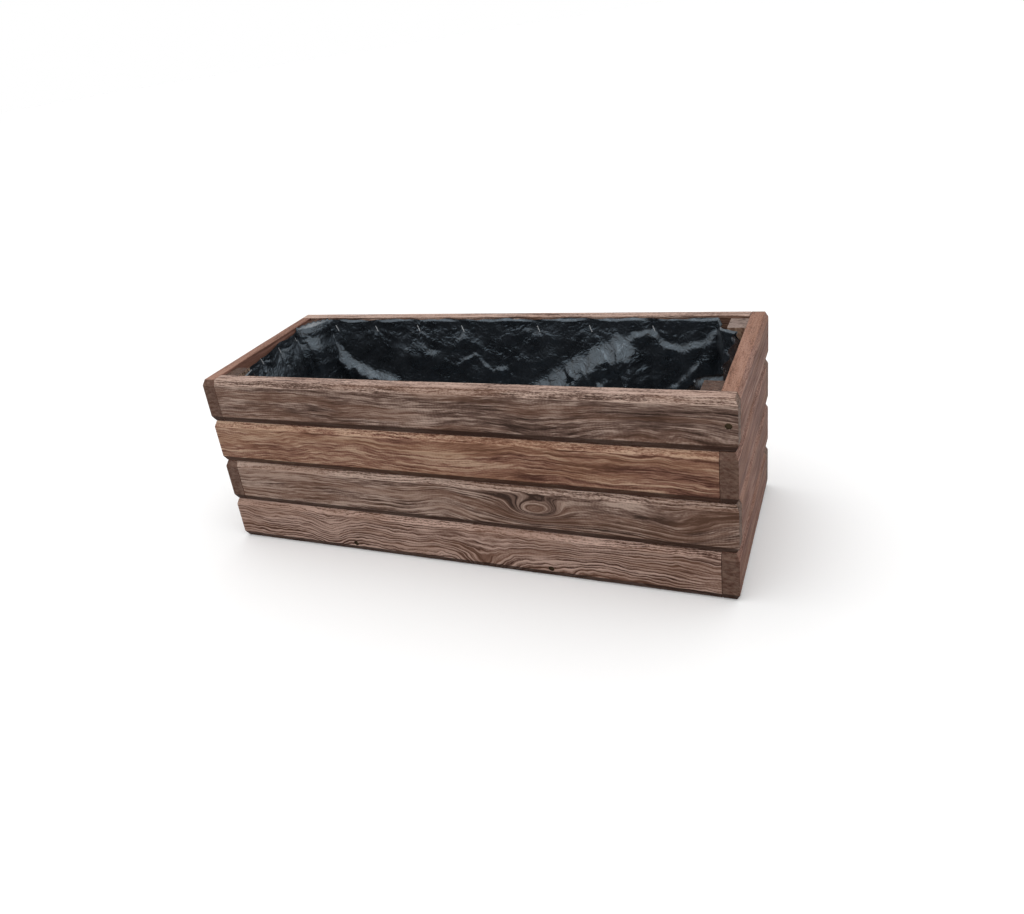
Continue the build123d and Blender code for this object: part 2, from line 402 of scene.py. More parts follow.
# Looks: colours, the rings' pitch in millimetres, how strongly each field shows in the tone, how
# far bend and ripple push the rings, and what is added to the tone at the left and right ends
GREY_BROWN = {
    "dark": srgb(62, 44, 36),
    "mid": srgb(132, 105, 93),
    "light": srgb(214, 186, 170),
    "warm": srgb(146, 106, 84),
    "warmth": 0.35,
    # rim: colour of faces that turn upwards, made paler as painted light from above
    "rim": srgb(166, 140, 128),
    "end": srgb(132, 107, 93),
    "ring": 8.0,
    "contrast": 0.35,
    "streak": 1.9,
    "fibre": 1.9,
    "painted_glint": 0.35,
    "patch": 1.1,
    "ribs": 0.16,
    "sawn": 2.2,
    "bend": 20.0,
    "ripple": 7.0,
    "left": 0.02,
    "right": -0.06,
}
ORANGE_BROWN = GREY_BROWN | {
    "dark": srgb(88, 54, 43),
    "mid": srgb(163, 118, 98),
    "light": srgb(224, 188, 160),
    "warm": srgb(176, 130, 99),
    "warmth": 0.3,
    "ring": 10.0,
    "contrast": 0.8,
    "bend": 30.0,
    "ripple": 12.0,
    "left": 0.1,
    "right": -0.13,
}
FINE_RINGS = GREY_BROWN | {
    "mid": srgb(142, 114, 101),
    "ring": 6.0,
    "contrast": 1.0,
    "left": 0.2,
    "right": -0.16,
}
WAVY = GREY_BROWN | {
    "dark": srgb(66, 41, 33),
    "mid": srgb(140, 108, 94),
    "light": srgb(220, 186, 170),
    "ring": 5.0,
    "contrast": 1.5,
    "streak": 1.3,
    "bend": 24.0,
    "ripple": 16.0,
    "left": 0.22,
    "right": 0.06,
}
SMOOTH_RED = GREY_BROWN | {
    "dark": srgb(84, 54, 44),
    "mid": srgb(130, 93, 80),
    "light": srgb(176, 136, 120),
    "rim": srgb(144, 107, 88),
    "contrast": 0.3,
    "streak": 1.1,
    "fibre": 0.5,
    "painted_glint": 0.1,
    "ribs": 0.06,
}
SAWN = GREY_BROWN | {
    "dark": srgb(84, 68, 62),
    "mid": srgb(150, 126, 108),
    "light": srgb(196, 172, 150),
    "rim": srgb(112, 97, 90),
    "end": srgb(150, 132, 124),
    "ribs": 0.9,
}
STAINED_SAWN = SAWN | {
    "dark": srgb(40, 26, 21),
    "rim": srgb(70, 48, 40),
    "end": srgb(86, 62, 52),
}

# Looks of each side's slats, from the lowest course up
SLAT_LOOKS = {
    "front": (WAVY, FINE_RINGS, ORANGE_BROWN, GREY_BROWN),
    "right": (SMOOTH_RED,) * COURSES,
    "back": (GREY_BROWN, WAVY, ORANGE_BROWN, GREY_BROWN),
    "left": (GREY_BROWN, SMOOTH_RED, GREY_BROWN, SMOOTH_RED),
}

# Knots in millimetres: places along the slat and above the ground, reaches both ways, and lift
KNOTS = {
    "front_slat_4": [(300, 238, 90, 18, -12)],
    "front_slat_2": [
        (128, 103, 40, 17, 28),
        (225, 104, 110, 26, 13),
        (330, 88, 60, 32, 19),
        (-10, 100, 40, 40, -14),
    ],
    "front_slat_1": [
        (44, -6, 36, 34, 30),
        (-215, 36, 34, 40, 16),
        (200, 26, 90, 26, -12),
    ],
}

# Nodes that stay as packed, by the start of their names: the way of their grain, and a seed
SAWN_NODES = {"corner_post": ("Z", 31), "floor_batten": ("Y", 32), "floor_board": ("X flat", 33)}
UNSTAINED_NODE = "corner_post_back_right"


# Metal

STEEL_GRAIN = (900, 900, 900)
STEEL_DETAIL = 3.0
STEEL_STOPS = (0.35, 0.6)
STEEL_SHADE = 0.6
ROUGH_SWING = 0.12
# Screws: their steel darkened to brown-black as painted shade for the holes they sit in
SCREW_STEEL_PAINTED_DARK = {"colour": (0.05, 0.035, 0.02), "rough": 0.5}
STAPLE_STEEL = {"colour": (0.9, 0.92, 0.94), "rough": 0.4, "metal": 0.25}


def steel(name, colour, rough, metal=1.0):
    """Worn steel, duller and darker in specks."""
    material, tree, shader = new_material(name)
    grain = tree.noise(tree.add("TexCoord").outputs["Object"], STEEL_GRAIN, STEEL_DETAIL)
    worn = tree.span(grain, *NOISE_SPAN, rough - ROUGH_SWING, rough + ROUGH_SWING)
    tree.set(shader.inputs["Roughness"], worn)
    shade = tuple(STEEL_SHADE * part for part in colour)
    tree.set(shader.inputs["Base Color"], tree.ramp(grain, *zip(STEEL_STOPS, (shade, colour))))
    shader.inputs["Metallic"].default_value = metal
    return material


# Pieces in mesh code

# Slats
CHAMFER_DEPTH = 4 * MM
CHAMFER_RISE = 9 * MM
ARRIS = 0.9 * MM
ARRIS_SEGMENTS = 3
FLAT_ANGLE = math.radians(1)

# Wear of a slat's skin: the step between stations, how deep it goes, and its waves' lowest and
# highest radians per metre along and across, and phase
STATION = 12 * MM
WORN = 0.35 * MM
WAVES = 6
WAVE_LOW = (40, 60, 0)
WAVE_HIGH = (120, 200, 6.28)

# Screws, as packed: head sunk under the face, its straight lip, holes for head and core
SCREW_SINK = 2 * MM
LIP = 0.4 * MM
HEAD_HOLE = 4.4 * MM
CORE_HOLE = 2.65 * MM
HEAD_SPAN = 3 * HEAD_HOLE
HEAD_SKIN = 0.1 * MM

# A screw's hole, from outside the face inwards: depths past the head's top, and radii
BORE_SIDES = 32
BORE_STATIONS = (
    (-SCREW_SINK - 2 * MM, HEAD_HOLE),
    (LIP, HEAD_HOLE),
    (LIP + 1.8 * MM, CORE_HOLE),
    (40 * MM, CORE_HOLE),
)


def new_object(name, data):
    """A new object in the scene."""
    piece = bpy.data.objects.new(name, data)
    bpy.context.scene.collection.objects.link(piece)
    return piece


def new_piece(name, mesh, material, node):
    """A smooth piece that stands for a CAD node and rides on the one body."""
    mesh.polygons.foreach_set("use_smooth", [True] * len(mesh.polygons))
    mesh.materials.clear()
    mesh.materials.append(material)
    piece = new_object(name, mesh)
    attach(piece, "root")
    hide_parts(node)
    return piece


def dress(node, material):
    """Gives a CAD piece that still shows its material."""
    for slot in frame["nodes"][node].material_slots:
        slot.material = material


def slat_corners(length, depth, height):
    """Corners of a slat: along it to its open end, inward from its outer face, and up."""
    corners = []
    for level, up in ((0, 1), (height, -1)):
        chamfered = level + up * CHAMFER_RISE
        corners += [(0, 0, chamfered), (0, CHAMFER_DEPTH, level), (0, depth, level)]
        open_end = length - CHAMFER_DEPTH
        corners += [(open_end, CHAMFER_DEPTH, level), (open_end, depth, level)]
        corners += [(length, 0, chamfered), (length, depth, chamfered)]
    return corners


def slat_mesh(name):
    """A slat with rounded arrises in the place of its node, its corners and the axis it runs on."""
    side = name.split("_")[0]
    low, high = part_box(name)
    run = "XY".index(SIDES[side])
    through = 1 - run
    open_high = abs(high[run] - CAD_HIGH[run]) < MM
    outward = -1 if side in ("front", "left") else 1
    outer = high[through] if outward > 0 else low[through]
    size = high - low
    mesh = bmesh.new()
    for along, inward, up in slat_corners(size[run], size[through], size.z):
        place = [0.0, 0.0, low.z + up]
        place[run] = low[run] + along if open_high else high[run] - along
        place[through] = outer - outward * inward
        mesh.verts.new(place)
    bmesh.ops.convex_hull(mesh, input=mesh.verts)
    bmesh.ops.dissolve_limit(mesh, angle_limit=FLAT_ANGLE, verts=mesh.verts, edges=mesh.edges)
    rounding = {"offset": ARRIS, "segments": ARRIS_SEGMENTS, "profile": 0.5, "affect": "EDGES"}
    bmesh.ops.bevel(mesh, geom=mesh.edges[:], **rounding)
    return mesh, low, high, run


def wear(mesh, low, high, run, seed):
    """Cuts the slat into stations and moves its skin a little inwards."""
    normal = Vector((0, 0, 0))
    normal[run] = 1
    for station in np.arange(low[run] + STATION, high[run] - STATION / 2, STATION):
        geometry = mesh.verts[:] + mesh.edges[:] + mesh.faces[:]
        bmesh.ops.bisect_plane(mesh, geom=geometry, plane_co=normal * station, plane_no=normal)
    mesh.normal_update()
    waves = np.random.default_rng(seed).uniform(WAVE_LOW, WAVE_HIGH, (WAVES, 3))
    for vert in mesh.verts:
        along, across = vert.co[run], vert.co.z + vert.co[1 - run]
        swell = sum(math.sin(a * along + b * across + c) for a, b, c in waves) / WAVES
        vert.co -= vert.normal * ((swell + 1) / 2 * WORN)


def screw_places(node):
    """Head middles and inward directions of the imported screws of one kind."""
    corners = [vert.co for vert in frame["nodes"][node].data.vertices]
    ends = []
    for axis, reach in ((0, CAD_HIGH.x), (1, CAD_HIGH.y)):
        for sign in (-1, 1):
            heads = [c for c in corners if sign * c[axis] > reach - SCREW_SINK - HEAD_SKIN]
            while heads:
                near = [c for c in heads if (c - heads[0]).length < HEAD_SPAN]
                heads = [c for c in heads if c not in near]
                inward = Vector((0, 0, 0))
                inward[axis] = -sign
                ends.append((sum(near, Vector()) / len(near), inward))
    return ends


def bore(cutter, place, inward):
    """A stepped cylinder, for the head and then for the core of one screw."""
    turn = inward.to_track_quat("Z", "Y").to_matrix().to_4x4()
    rings = []
    for depth, radius in BORE_STATIONS:
        ring = []
        for n in range(BORE_SIDES):
            angle = 2 * math.pi * n / BORE_SIDES
            spot = Vector((radius * math.cos(angle), radius * math.sin(angle), depth))
            ring.append(cutter.verts.new(place + (turn @ spot)))
        rings.append(ring)
    for near, far in zip(rings, rings[1:]):
        for n in range(BORE_SIDES):
            after = (n + 1) % BORE_SIDES
            cutter.faces.new((near[n], near[after], far[after], far[n]))
    cutter.faces.new(rings[0][::-1])
    cutter.faces.new(rings[-1])
    bmesh.ops.recalc_face_normals(cutter, faces=cutter.faces)


def cut_out(mesh, tool_mesh):
    """What is left of a mesh without the room that another one takes."""
    tool, blank = new_object("bore", tool_mesh), new_object("blank", mesh)
    cut = blank.modifiers.new("bore", "BOOLEAN")
    cut.object, cut.operation, cut.solver = tool, "DIFFERENCE", "EXACT"
    ready = blank.evaluated_get(bpy.context.evaluated_depsgraph_get())
    left = bpy.data.meshes.new_from_object(ready)
    for piece in (tool, blank):
        bpy.data.objects.remove(piece)
    return left


def drill(mesh, name):
    """The slat's mesh with the sunk holes of its screws."""
    low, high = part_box(name)
    cutter = bmesh.new()
    for node in ("lap_screws", "batten_screws"):
        for place, inward in screw_places(node):
            if all(low[n] - MM < place[n] < high[n] + MM for n in range(3)):
                bore(cutter, place, inward)
    if not cutter.faces:
        cutter.free()
        return mesh
    tool_mesh = bpy.data.meshes.new("bore")
    cutter.to_mesh(tool_mesh)
    cutter.free()
    return cut_out(mesh, tool_mesh)


def slat(name, seed):
    """One slat of the walls, worn and drilled, in its own timber."""
    side, course = name.split("_")[0], int(name[-1])
    shape, *place = slat_mesh(name)
    wear(shape, *place, seed)
    mesh = bpy.data.meshes.new(name)
    shape.to_mesh(mesh)
    shape.free()
    look = SLAT_LOOKS[side][course - 1] | {"seed": seed, "knots": KNOTS.get(name, ())}
    timber = wood(f"wood_{name}", look, SIDES[side])
    piece = new_piece(f"stained_{name}", drill(mesh, name), timber, name)
    piece.modifiers.new("flat faces", "WEIGHTED_NORMAL").keep_sharp = True


# Foil liner

POST_X = 25 * MM
POST_Y = 38 * MM
CORNERS = ((1, 1), (-1, 1), (-1, -1), (1, -1))  # signs of X and Y, anticlockwise
BACK_STRIP = 45 * MM  # depth of the strip of plan that belongs to the back or front wall
END_STRIP = 30 * MM  # and of the one that belongs to an end wall
FOIL_EASE = 14 * MM  # from a post's face to where the foil leaves the wall
FOIL_OFF = 0.5 * MM  # foil off the timber where it lies against it
POST_OFF = 2 * MM  # and off the arris of a post
FOIL_STEP = 2.4 * MM
PLAN_SMOOTHING = 3
MARGIN = 9 * MM  # foil edge above the staples, in finer rows
MARGIN_ROWS = 10
FLOOR_RINGS = 30
SPINE = 0.24  # half the line in the floor's middle that the rings close on
FOOT = 12 * MM  # radius where the wall turns into the floor

STAPLE_DROP = 19 * MM
STAPLE_SPAN = 13 * MM
HOLD_REACH = 8 * MM  # how far round a staple the foil is held down
PLEAT_RISE = 5 * MM
PLEAT_REACH = 20 * MM
PLEAT_START = 6 * MM
PLEAT_MIDDLE = 0.4
PLEAT_TURNS = (1.3, 40)  # pleats per radian round a staple, and shift per metre of its place

# A field of creases: how many waves it has, their lowest and highest turn, phase and squeeze, and
# how far and how fast they wander, with radians per crease and per phase
CREASE_WAVES = 4
CREASE_DRAWS = ((0, 0, 0.7), (math.pi, 1, 1.4))
WANDER = 0.35
WANDER_A = (1.7, 9)
WANDER_B = (1.3, 5)

# Creases: size in millimetres, share of the foil's slack, seed
CREASES = ((52, 1.7, 3), (23, 0.7, 5), (11, 0.25, 8))
CREASE_MIDDLE = 0.4
WALL_SHIFT = 57  # millimetres from one wall's creases to the next one's
FLOOR_CREASES = ((46, 1, 21), (19, 0.5, 22))
FLOOR_RUCK = 2.2 * MM
RUCK_GROWTH = 3
LEAST_SLACK = 1 * MM
SLACK_SHARE = 0.26
LEFT_CALM = 0.6  # share of the slack that the left wall lacks
REST_WAVE = 1.5 * MM
REST_TURNS = (31, 40, 9)  # radians per metre of its waves: along, and down with a slant
LEAST_STAND = 0.2 * MM

# Slack lines on the back wall, in millimetres: (along, under the rim) points, then how wide the
# step is, how far it stands out, and how far down it fades
BACK_SWAGS = (
    (((-362, 14), (-331, 43), (-304, 78), (-284, 92), (-260, 102), (-205, 116)), 24, 14, 40),
    (((-200, 50), (-182, 58), (-156, 46), (-118, 74)), 16, 4, 25),
    (((-114, 42), (-94, 50), (-75, 30), (-54, 40), (-36, 56)), 12, 3.5, 14),
    (((-90, 79), (-57, 62), (-28, 92), (-6, 84), (8, 102)), 5, 4, 16),
    (((0, 82), (23, 63), (37, 76), (60, 68)), 7, 2.5, 14),
    (((40, 128), (96, 98), (148, 69), (183, 52), (215, 80)), 50, 26, 60),
    (((130, 118), (162, 96), (190, 104), (220, 94)), 12, 4, 20),
    (((181, 44), (206, 30), (231, 22), (250, 46), (276, 48), (300, 44), (330, 20)), 14, 7, 26),
    (((260, 112), (283, 90), (308, 56)), 10, 7, 22),
)
LEFT_SWAGS = ((((-90, 62), (20, 56), (70, 44), (112, 30)), 75, 17, 70),)
SWAG_FADE = 14 * MM
SWAG_WOBBLE = 7 * MM
WOBBLE_CREASE = (37, 12)
RUFFLE_CREASE = (41, 34)
RUFFLE_LEAST = 0.75
RUFFLE_SHARE = 0.5

# The foil's edge: its drop under the rim with two waves in it, each a height and radians per
# metre on X and Y, and in millimetres its further drop along the left wall
EDGE_DROP = 2.6 * MM
EDGE_WAVES = ((0.9 * MM, (61, 83)), (0.5 * MM, (190, 230)))
LEFT_DROP = ((-75, -33, 15, 50, 108), (13, 11, 5, 4, 1))

# Under its edge the foil stands off the wall between staples, and leans off the right one by
# millimetres that go with the way from back to front
HEM_STAND = 2.6 * MM
HEM_REACH = 26 * MM
HEM_WAVE = (97, 151)
HEM_START = 2  # millimetres under the edge where it starts, is full, and then fades
HEM_FULL = 6
HEM_FADE = 16
RIGHT_LEAN = ((0, 40, 86, 116, 141, 172, 230), (0, 3, 11, 10, 10, 8, 4))
LEAN_REACH = 28 * MM
LEAN_HELD = 0.35  # share of the lean that is left at a staple
LEAN_FULL = 5 * MM  # depth under the rim where the lean is full

# Foil over the back left post: how far over, pleats in the corner, their rise and the edge's, and
# the shares of the margin where it lies up, folds over and strays again
POST_COVER = 0.5
LAID_UP = 0.2
FOLD_START = 0.15
FOLD_LENGTH = 0.75
STRAY_START = 0.85
POST_CLEAR = 0.7 * MM
POST_PLEATS = 6
PLEAT_HEIGHT = 2.4 * MM
STRAY_EDGE = 1.2 * MM


def smooth_step(value):
    value = np.clip(value, 0, 1)
    return value * value * (3 - 2 * value)


def zigzag(value):
    """1 at whole numbers and 0 half way between them, with straight flanks."""
    return np.abs(value % 1 - 0.5) * 2


def crease(a, b, size, seed):
    """Flat facets between sharp creases, 0 to 1, in two directions of millimetres."""
    random = np.random.default_rng(seed)
    waves = []
    for _ in range(CREASE_WAVES):
        turn, phase, squeeze = random.uniform(*CREASE_DRAWS)
        warp = WANDER * np.sin(a / size * WANDER_A[0] + phase * WANDER_A[1])
        warp = warp * np.cos(b / size * WANDER_B[0] + phase * WANDER_B[1])
        across = (a * math.cos(turn) + b * math.sin(turn)) * squeeze / size
        waves.append(zigzag(across + warp + phase))
    return (np.maximum(waves[0], waves[1]) + np.minimum(waves[2], waves[3])) / 2


def swag(along, under, line, width, height, tail):
    """Foil that steps off the wall below a slack line, and comes back to it further down."""
    xs, ys = (np.array(part) * MM for part in zip(*line))
    wobble = SWAG_WOBBLE * (crease(along / MM, under / MM, *WOBBLE_CREASE) - 0.5)
    below = under - np.interp(along, xs, ys) + wobble
    steep = np.interp(along, (xs[1:] + xs[:-1]) / 2, np.abs(np.diff(ys) / np.diff(xs)))
    below = below / np.sqrt(1 + steep**2)
    ruffle = RUFFLE_LEAST + RUFFLE_SHARE * crease(along / MM, under / MM, *RUFFLE_CREASE)
    fades = (xs[0] - SWAG_FADE, xs[0] + SWAG_FADE, xs[-1] - SWAG_FADE, xs[-1] + SWAG_FADE)
    ends = np.interp(along, fades, (0, 1, 1, 0))
    step = smooth_step(below / (width * MM) + 0.5)
    back = np.exp(-np.maximum(below, 0) / (tail * MM))
    return height * MM * step * back * ends * ruffle


def plan_corners():
    """Turning points of the foil's plan, round the posts, and of the walls behind them."""
    half = (np.array(ROOM_HIGH[:2]) - np.array(ROOM_LOW[:2])) / 2 - FOIL_OFF
    on_end = half - (0, POST_Y + FOIL_EASE)
    arris = half - (POST_X + POST_OFF, POST_Y + POST_OFF)
    on_face = half - (POST_X + FOIL_EASE, 0)
    hugging, walls = [], []
    for sign in np.array(CORNERS):
        order = sign[0] * sign[1]
        hugging += [sign * point for point in (on_end, arris, on_face)[::order]]
        walls += [sign * point for point in (on_end, half, on_face)[::order]]
    return hugging, walls


def liner_path():
    """The foil's plan: places, inward normals, and the places on the walls behind the posts."""
    hugging, walls = plan_corners()
    places, behind = [], []
    for n, start in enumerate(hugging):
        after = (n + 1) % len(hugging)
        count = max(2, round(np.linalg.norm(hugging[after] - start) / FOIL_STEP))
        shares = np.arange(count)[:, None] / count
        places.append(start + (hugging[after] - start) * shares)
        behind.append(walls[n] + (walls[after] - walls[n]) * shares)
    places, behind = np.vstack(places), np.vstack(behind)
    for _ in range(PLAN_SMOOTHING):
        places = (np.roll(places, 1, 0) + places * 2 + np.roll(places, -1, 0)) / 4
    ahead = np.roll(places, -1, 0) - np.roll(places, 1, 0)
    ahead /= np.linalg.norm(ahead, axis=1)[:, None]
    return places, np.stack((-ahead[:, 1], ahead[:, 0]), 1), behind


def staple_places():
    """Middles of the staples' crowns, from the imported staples."""
    corners = np.array([vert.co for vert in frame["nodes"]["liner_staples"].data.vertices])
    plan = corners[:, :2]
    corners = corners[np.all((plan > ROOM_LOW[:2]) & (plan < ROOM_HIGH[:2]), 1)]
    middles = []
    while len(corners):
        near = np.linalg.norm(corners - corners[0], axis=1) < STAPLE_SPAN
        middles.append(corners[near].mean(0))
        corners = corners[~near]
    return np.array(middles)


def nearest_staple(places, staples):
    """How far the nearest staple is in plan."""
    return np.min([np.hypot(*(places - staple[:2]).T) for staple in staples], axis=0)


def staple_pull(x, y, along, under, staples):
    """Pleats that fan out below the staples, and how freely the foil stands, 0 at a staple."""
    lift, free = np.zeros_like(under), np.ones_like(under)
    per_radian, per_metre = PLEAT_TURNS
    down = under - STAPLE_DROP
    for at_x, at_y, _ in staples:
        far = np.hypot(np.hypot(x - at_x, y - at_y), down)
        on_long = abs(at_y) > ROOM_HIGH.y - BACK_STRIP
        turn = np.arctan2(down, along - (at_x if on_long else at_y))
        pleats = zigzag(turn * per_radian + at_x * per_metre) - PLEAT_MIDDLE
        fade = np.exp(-far / PLEAT_REACH) * far / (far + PLEAT_START)
        lift += PLEAT_RISE * pleats * fade * (down > 0)
        free *= 1 - np.exp(-((far / HOLD_REACH) ** 2))
    return lift, free


def liner_stand(places, under, staples):
    """How far the foil stands off the timber, for plan places and depths under the rim."""
    x, y = (np.broadcast_to(part, under.shape) for part in places.T)
    on_back = y > ROOM_HIGH.y - BACK_STRIP
    on_left = (x < END_STRIP - ROOM_HIGH.x) & ~on_back
    along = np.where(np.abs(y) > ROOM_HIGH.y - BACK_STRIP, x, y)
    wide, deep, slant = REST_TURNS
    stand = REST_WAVE * (1 + np.sin(along * wide) * np.sin(under * deep + along * slant))
    stand += sum(swag(along, under, *line) for line in BACK_SWAGS) * on_back
    stand += sum(swag(along, under, *line) for line in LEFT_SWAGS) * on_left
    slack = (LEAST_SLACK + SLACK_SHARE * stand) * (1 - LEFT_CALM * on_left)
    across = along / MM + (on_back + on_left * 2) * WALL_SHIFT
    for size, share, seed in CREASES:
        stand += slack * share * (crease(across, under / MM, size, seed) - CREASE_MIDDLE)
    lift, free = staple_pull(x, y, along, under, staples)
    return np.maximum((stand + lift) * free, 0) + LEAST_STAND


def edge_drop(places):
    """How far the foil's edge hangs under the rim."""
    waves = sum(height * np.sin(places @ turns) for height, turns in EDGE_WAVES)
    on_left = places[:, 0] < END_STRIP - ROOM_HIGH.x
    return EDGE_DROP + waves + on_left * np.interp(places[:, 1] / MM, *LEFT_DROP) * MM


def hem(places, under, staples):
    """Foil that stands off the wall under its edge, between one staple and the next."""
    slack = HEM_STAND * smooth_step(nearest_staple(places, staples) / HEM_REACH)
    down = under / MM + np.sin(places @ HEM_WAVE)
    rise = smooth_step((down - HEM_START) / (HEM_FULL - HEM_START))
    return slack * rise * np.exp(-np.maximum(down - HEM_FULL, 0) / HEM_FADE)


def liner_lean(places, staples):
    """How far the margin above the staples leans off the wall at its edge."""
    x, y = places.T
    off = np.interp((ROOM_HIGH.y - y) / MM, *RIGHT_LEAN) * MM
    free = smooth_step(nearest_staple(places, staples) / LEAN_REACH)
    off = off * (LEAN_HELD + (1 - LEAN_HELD) * free)
    return np.where(x > ROOM_HIGH.x - END_STRIP, off, 0)


def cover_post(rows, behind, places):
    """Folds the foil's margin part of the way over the top of the back left post."""
    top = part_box("corner_post_back_left")[1].z + POST_CLEAR
    near_end = places[:, 0] < POST_X + FOIL_EASE - ROOM_HIGH.x
    over = near_end & (places[:, 1] > ROOM_HIGH.y - POST_Y - FOIL_EASE)
    fan = PLEAT_HEIGHT * zigzag(np.linspace(0, POST_PLEATS, over.sum()))
    for row, layer in enumerate(rows[-MARGIN_ROWS:]):
        share = (row + 1) / MARGIN_ROWS
        out = POST_COVER * smooth_step((share - FOLD_START) / FOLD_LENGTH)
        layer[over, :2] = places[over] * (1 - out) + behind[over] * out
        start = STRAY_EDGE * (1 - min(1, share / LAID_UP))
        end = STRAY_EDGE * max(0, share - STRAY_START) / (1 - STRAY_START)
        layer[over, 2] = top - start + fan * math.sin(math.pi * out) + end


def rings_over_floor(outer, height):
    """Rings of foil over the boards, from the middle line out to a row of points."""
    spine = np.column_stack((np.clip(outer[:, 0], -SPINE, SPINE), 0 * outer[:, 0]))
    rings = []
    for share in np.linspace(1, 1 / FLOOR_RINGS, FLOOR_RINGS):
        flat = outer[:, :2] + (spine - outer[:, :2]) * share
        a, b = flat.T / MM
        ruck = sum(part * crease(a, b, size, seed) for size, part, seed in FLOOR_CREASES)
        rise = ruck * FLOOR_RUCK * smooth_step(share * RUCK_GROWTH)
        rings.append(np.column_stack((flat, height + rise)))
    return rings


def liner_heights(edge, floor_top):
    """Heights of the foil's rows: even ones up the wall, and finer ones in the margin."""
    count = round((CAD_HIGH.z - MARGIN - floor_top) / FOIL_STEP)
    shares = np.arange(count + 1)[:, None] / count
    wall = floor_top + shares * (edge - MARGIN - floor_top)
    strip = (np.arange(MARGIN_ROWS) + 1)[:, None] / MARGIN_ROWS
    return np.vstack((wall, edge - MARGIN + strip * MARGIN))


def liner_rows():
    """Rings of points over the floor, and rows from there up to the edge."""
    places, normals, behind = liner_path()
    staples = staple_places()
    floor_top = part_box("floor_board_2")[1].z + FOIL_OFF
    heights = liner_heights(CAD_HIGH.z - edge_drop(places), floor_top)
    under = CAD_HIGH.z - heights
    stand = liner_stand(places, under, staples) + hem(places, under, staples)
    margin = smooth_step((STAPLE_DROP - under) / (STAPLE_DROP - LEAN_FULL))
    stand += margin * liner_lean(places, staples)
    foot = np.clip(1 - (heights - floor_top) / FOOT, 0, 1)
    stand += FOOT * (1 - np.sqrt(1 - foot**2))
    flat = places[None] + normals[None] * stand[..., None]
    rows = [np.column_stack((ring, height)) for ring, height in zip(flat, heights)]
    cover_post(rows, behind, places)
    return rings_over_floor(rows[0], floor_top) + rows


FOIL_DARK = (0.012, 0.013, 0.015)
FOIL_PALE = (0.024, 0.026, 0.03)
FOIL_SHEEN = (0.66, 0.84, 1.0, 1)
FOIL_IOR = 1.85
FOIL_ROUGH = (0.22, 0.42)
FOIL_COAT = {"Coat Weight": 0.5, "Coat Roughness": 0.18}
WARP_SCALE = 34.0
WARP_DETAIL = 3.0
WARP_REACH = (0.03,) * 3
WARP_RELIEF = 0.4
FINE_CREASES = ((60.0, 0.9), (135.0, 0.75))  # scale and relief
FOIL_STRENGTH = 0.9
FOIL_RELIEF = 2.2 * MM


def fine_creases(tree, place, scale, share):
    """A net of sharp creases, by the distance to the nearest one."""
    inputs = {"Vector": place, "Scale": scale}
    net = tree.add("TexVoronoi", inputs, feature="DISTANCE_TO_EDGE")
    return tree.times(net.outputs["Distance"], share)


def foil():
    """Black film with a bluish shine."""
    material, tree, shader = new_material("foil")
    place = tree.add("TexCoord").outputs["Object"]
    inputs = {"Vector": place, "Scale": WARP_SCALE, "Detail": WARP_DETAIL}
    warp = tree.add("TexNoise", inputs).outputs
    shifted = tree.add("VectorMath", operation="MULTIPLY_ADD")
    for socket, value in zip(shifted.inputs, (warp["Color"], WARP_REACH, place)):
        tree.set(socket, value)
    nets = [fine_creases(tree, shifted.outputs[0], *net) for net in FINE_CREASES]
    height = tree.sum(*nets, tree.times(warp["Fac"], WARP_RELIEF))
    tree.set(shader.inputs["Normal"], tree.bump(height, FOIL_STRENGTH, FOIL_RELIEF))
    tint = tree.ramp(warp["Fac"], *zip(NOISE_SPAN, (FOIL_DARK, FOIL_PALE)))
    tree.set(shader.inputs["Base Color"], tint)
    rough = tree.span(warp["Fac"], *NOISE_SPAN, *FOIL_ROUGH)
    tree.set(shader.inputs["Roughness"], rough)
    shader.inputs["Specular Tint"].default_value = FOIL_SHEEN
    shader.inputs["IOR"].default_value = FOIL_IOR
    for name, value in FOIL_COAT.items():
        shader.inputs[name].default_value = value
    return material


def liner():
    """The foil as one sheet, in the place of the plain tray."""
    rows = liner_rows()
    count = len(rows[0])
    faces = []
    for row in range(len(rows) - 1):
        start, above = row * count, (row + 1) * count
        for n in range(count):
            after = (n + 1) % count
            faces.append((start + n, start + after, above + after, above + n))
    mesh = bpy.data.meshes.new("foil liner")
    mesh.from_pydata(np.vstack(rows).tolist(), [], faces)
    piece = new_piece("crinkled_foil_liner", mesh, foil(), "foil_liner")


# Stage

HORIZON = 0.42
ZENITH = 1.3
WHITE = (1, 1, 1)
FLOOR_BOUNCE = (0.12,) * 3
FLOOR_REACH = 60
FLOOR_ROUGH = 0.9
SKY_LAMP = {"place": (-0.2, -0.3, 2.4), "size": (1.8, 1.4), "power": 9}


def seen(tree):
    """1 for rays that show the background: from the camera, or off and through shiny pieces."""
    path = tree.add("LightPath")
    rays = ("Is Camera Ray", "Is Glossy Ray", "Is Transmission Ray")
    return tree.math("MINIMUM", tree.sum(*[path.outputs[ray] for ray in rays]), 1)


def floor():
    """A white floor that gives the object little light back."""
    signs = ((-1, -1), (1, -1), (1, 1), (-1, 1))
    mesh = bpy.data.meshes.new("floor")
    mesh.from_pydata([(x * FLOOR_REACH, y * FLOOR_REACH, 0) for x, y in signs], [], [(0, 1, 2, 3)])
    material, tree, shader = new_material("pale floor")
    shader.inputs["Roughness"].default_value = FLOOR_ROUGH
    shader.inputs["Specular IOR Level"].default_value = 0.0
    tree.set(shader.inputs["Base Color"], tree.mix(seen(tree), FLOOR_BOUNCE, WHITE))
    mesh.materials.append(material)
    new_object("floor", mesh)


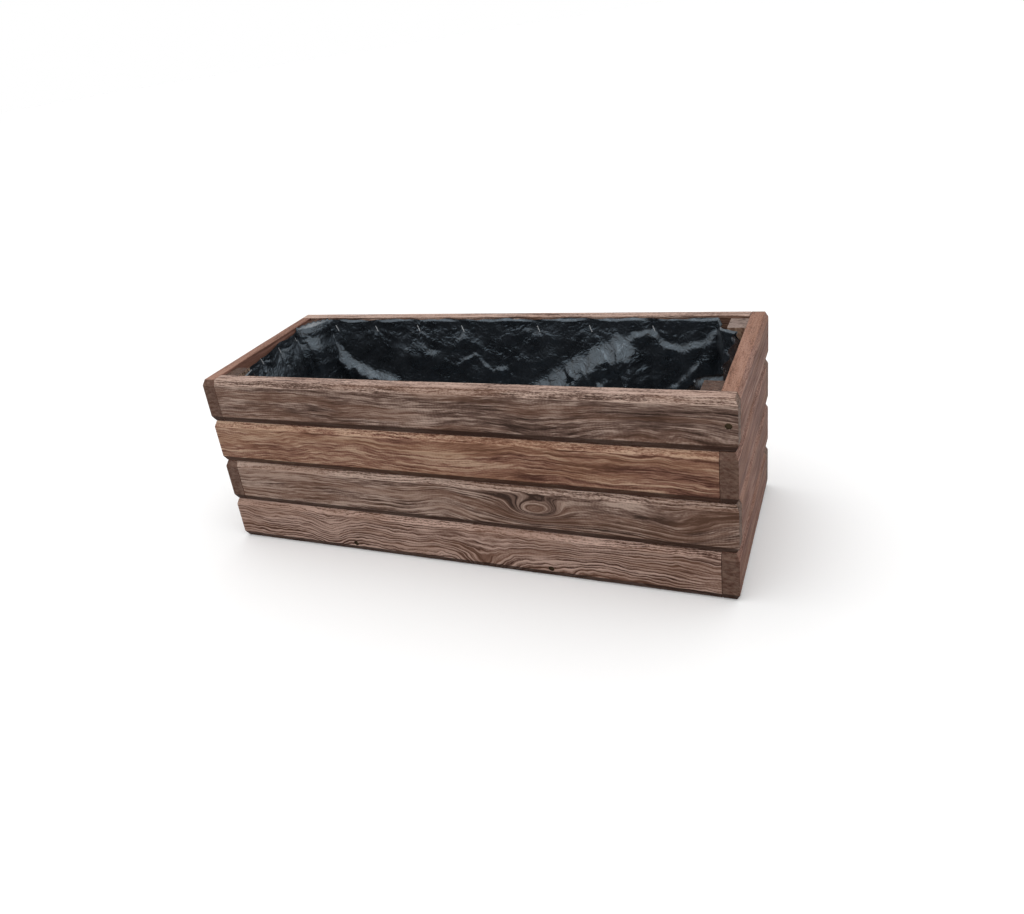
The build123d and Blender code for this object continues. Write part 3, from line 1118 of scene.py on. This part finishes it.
def world():
    """An overcast sky, brighter towards the top, that shows as white."""
    surroundings = bpy.data.worlds.new("studio")
    bpy.context.scene.world = surroundings
    tree = Tree(surroundings)
    height = tree.add("SeparateXYZ", {"Vector": tree.add("TexCoord").outputs["Generated"]})
    level = tree.span(height.outputs["Z"], 0.0, 1.0, HORIZON, ZENITH)
    ambient = tree.add("Background", {"Color": (*WHITE, 1), "Strength": level})
    white = tree.add("Background", {"Color": (*WHITE, 1), "Strength": 1.0})
    blend = tree.add("MixShader", {"Fac": seen(tree)})
    tree.set(blend.inputs[1], ambient.outputs[0])
    tree.set(blend.inputs[2], white.outputs[0])
    tree.set(tree.nodes["World Output"].inputs["Surface"], blend.outputs[0])


def lamp(name, place, size, power):
    """A soft lamp that is turned to the object."""
    data = bpy.data.lights.new(name, "AREA")
    data.shape = "RECTANGLE"
    data.size, data.size_y = size
    data.energy = power
    piece = new_object(name, data)
    piece.location = place
    piece.rotation_euler = (-Vector(place)).to_track_quat("-Z", "Y").to_euler()


def camera():
    data = bpy.data.cameras.new("camera")
    data.lens, data.sensor_width, data.sensor_fit = LENS, SENSOR, "HORIZONTAL"
    data.shift_x, data.shift_y = SHIFT
    piece = new_object("camera", data)
    piece.location = CAMERA_PLACE
    sight = (Vector(CAMERA_AIM) - Vector(CAMERA_PLACE)).to_track_quat("-Z", "Y")
    piece.rotation_euler = (sight @ Quaternion((0, 0, 1), CAMERA_ROLL)).to_euler()
    bpy.context.scene.camera = piece


# The whole planter


def slats():
    names = sorted(node for node in frame["nodes"] if "_slat_" in node)
    for seed, name in enumerate(names, 1):
        slat(name, seed)


def packed_pieces():
    """Materials for the CAD pieces that stay: posts, battens, boards, screws and staples."""
    for start, (along, seed) in SAWN_NODES.items():
        for node in (name for name in frame["nodes"] if name.startswith(start)):
            timber = SAWN if node == UNSTAINED_NODE else STAINED_SAWN
            dress(node, wood(f"wood_{node}", timber | {"seed": seed}, along))
    for node in (name for name in frame["nodes"] if name.endswith("screws")):
        dress(node, steel(f"steel_{node}", **SCREW_STEEL_PAINTED_DARK))
    dress("liner_staples", steel("staple steel", **STAPLE_STEEL))


camera()
world()
floor()
lamp("sky", **SKY_LAMP)
slats()
liner()
packed_pieces()

bpy.context.scene.view_settings.view_transform = "Standard"
